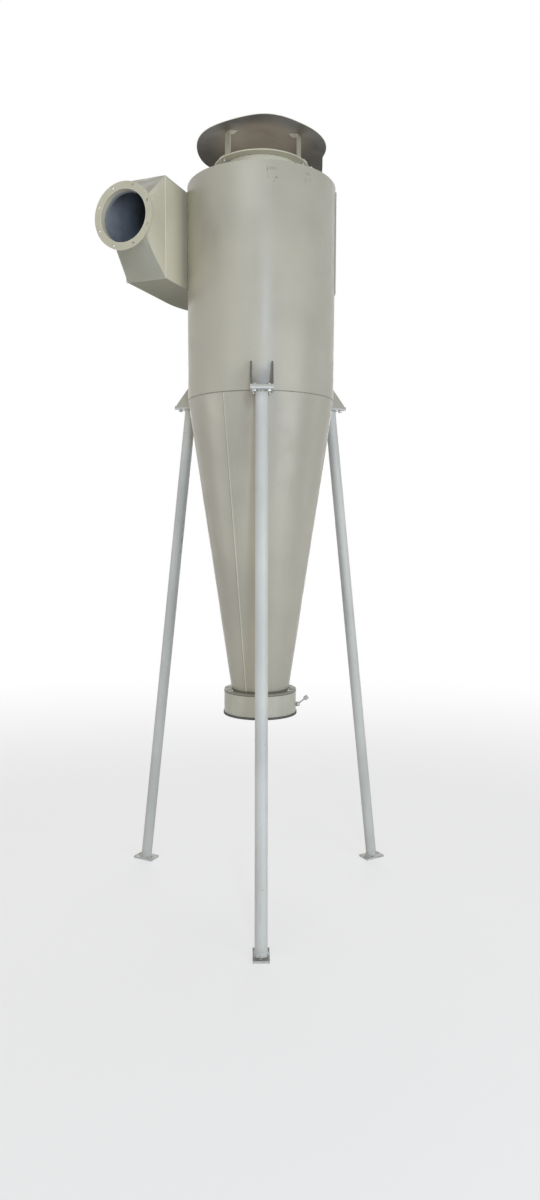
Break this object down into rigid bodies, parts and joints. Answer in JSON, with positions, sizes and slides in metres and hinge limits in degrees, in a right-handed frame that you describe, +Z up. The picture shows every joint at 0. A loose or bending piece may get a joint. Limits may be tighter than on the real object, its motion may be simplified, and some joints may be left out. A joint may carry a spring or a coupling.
{
  "type": "cyclone separator",
  "caption": "Free-standing cyclone dust separator: round barrel on a long cone, flanged scroll inlet, capped gas outlet, open dust sleeve and splayed pipe legs.",
  "frame": {"origin": "on the body's axis at floor level, the centre of the three feet's bolt circles", "axes": "+Z up along the body's axis, +Y the way the air blows in, the inlet on the -X side"},
  "size_m": [1.1591, 1.2499, 3.3591],
  "materials": {
    "sheet_paint": "cream enamel on rolled sheet, semi-gloss",
    "plate_paint": "cream enamel on cut plate, semi-gloss",
    "leg_paint": "cream enamel on pipe and foot plates, scuffed",
    "edge_trim": "dark grey rubber edge trim, matt",
    "bare_steel": "zinc-plated steel"
  },
  "bodies": {
    "root": {"barrel_shell": "sheet_paint", "roof_plate": "plate_paint", "cone_shell": "plate_paint", "gas_outlet_tube": "sheet_paint", "gas_outlet_ring": "plate_paint", "rain_cap": "plate_paint", "cap_bracket_1": "plate_paint", "cap_bracket_2": "plate_paint", "cap_bracket_3": "plate_paint", "inlet_flange": "plate_paint", "inlet_spigot": "plate_paint", "inlet_transition": "sheet_paint", "duct_inner_wall": "sheet_paint", "scroll_outer_wall": "sheet_paint", "scroll_end_strip": "plate_paint", "scroll_top_plate": "sheet_paint", "scroll_bottom_plate": "sheet_paint", "dust_ring": "plate_paint", "dust_sleeve": "plate_paint", "sleeve_edge_trim": "edge_trim", "sleeve_clamp_lug": "bare_steel", "sleeve_clamp_lever": "bare_steel", "leg_bracket_gussets_1": "plate_paint", "leg_bracket_gussets_2": "plate_paint", "leg_bracket_gussets_3": "plate_paint", "leg_bracket_shelf_1": "plate_paint", "leg_bracket_shelf_2": "plate_paint", "leg_bracket_shelf_3": "plate_paint", "leg_head_plate_1": "leg_paint", "leg_head_plate_2": "leg_paint", "leg_head_plate_3": "leg_paint", "leg_pipe_1": "leg_paint", "leg_pipe_2": "leg_paint", "leg_pipe_3": "leg_paint", "foot_plate_1": "leg_paint", "foot_plate_2": "leg_paint", "foot_plate_3": "leg_paint"}
  },
  "joints": []
}
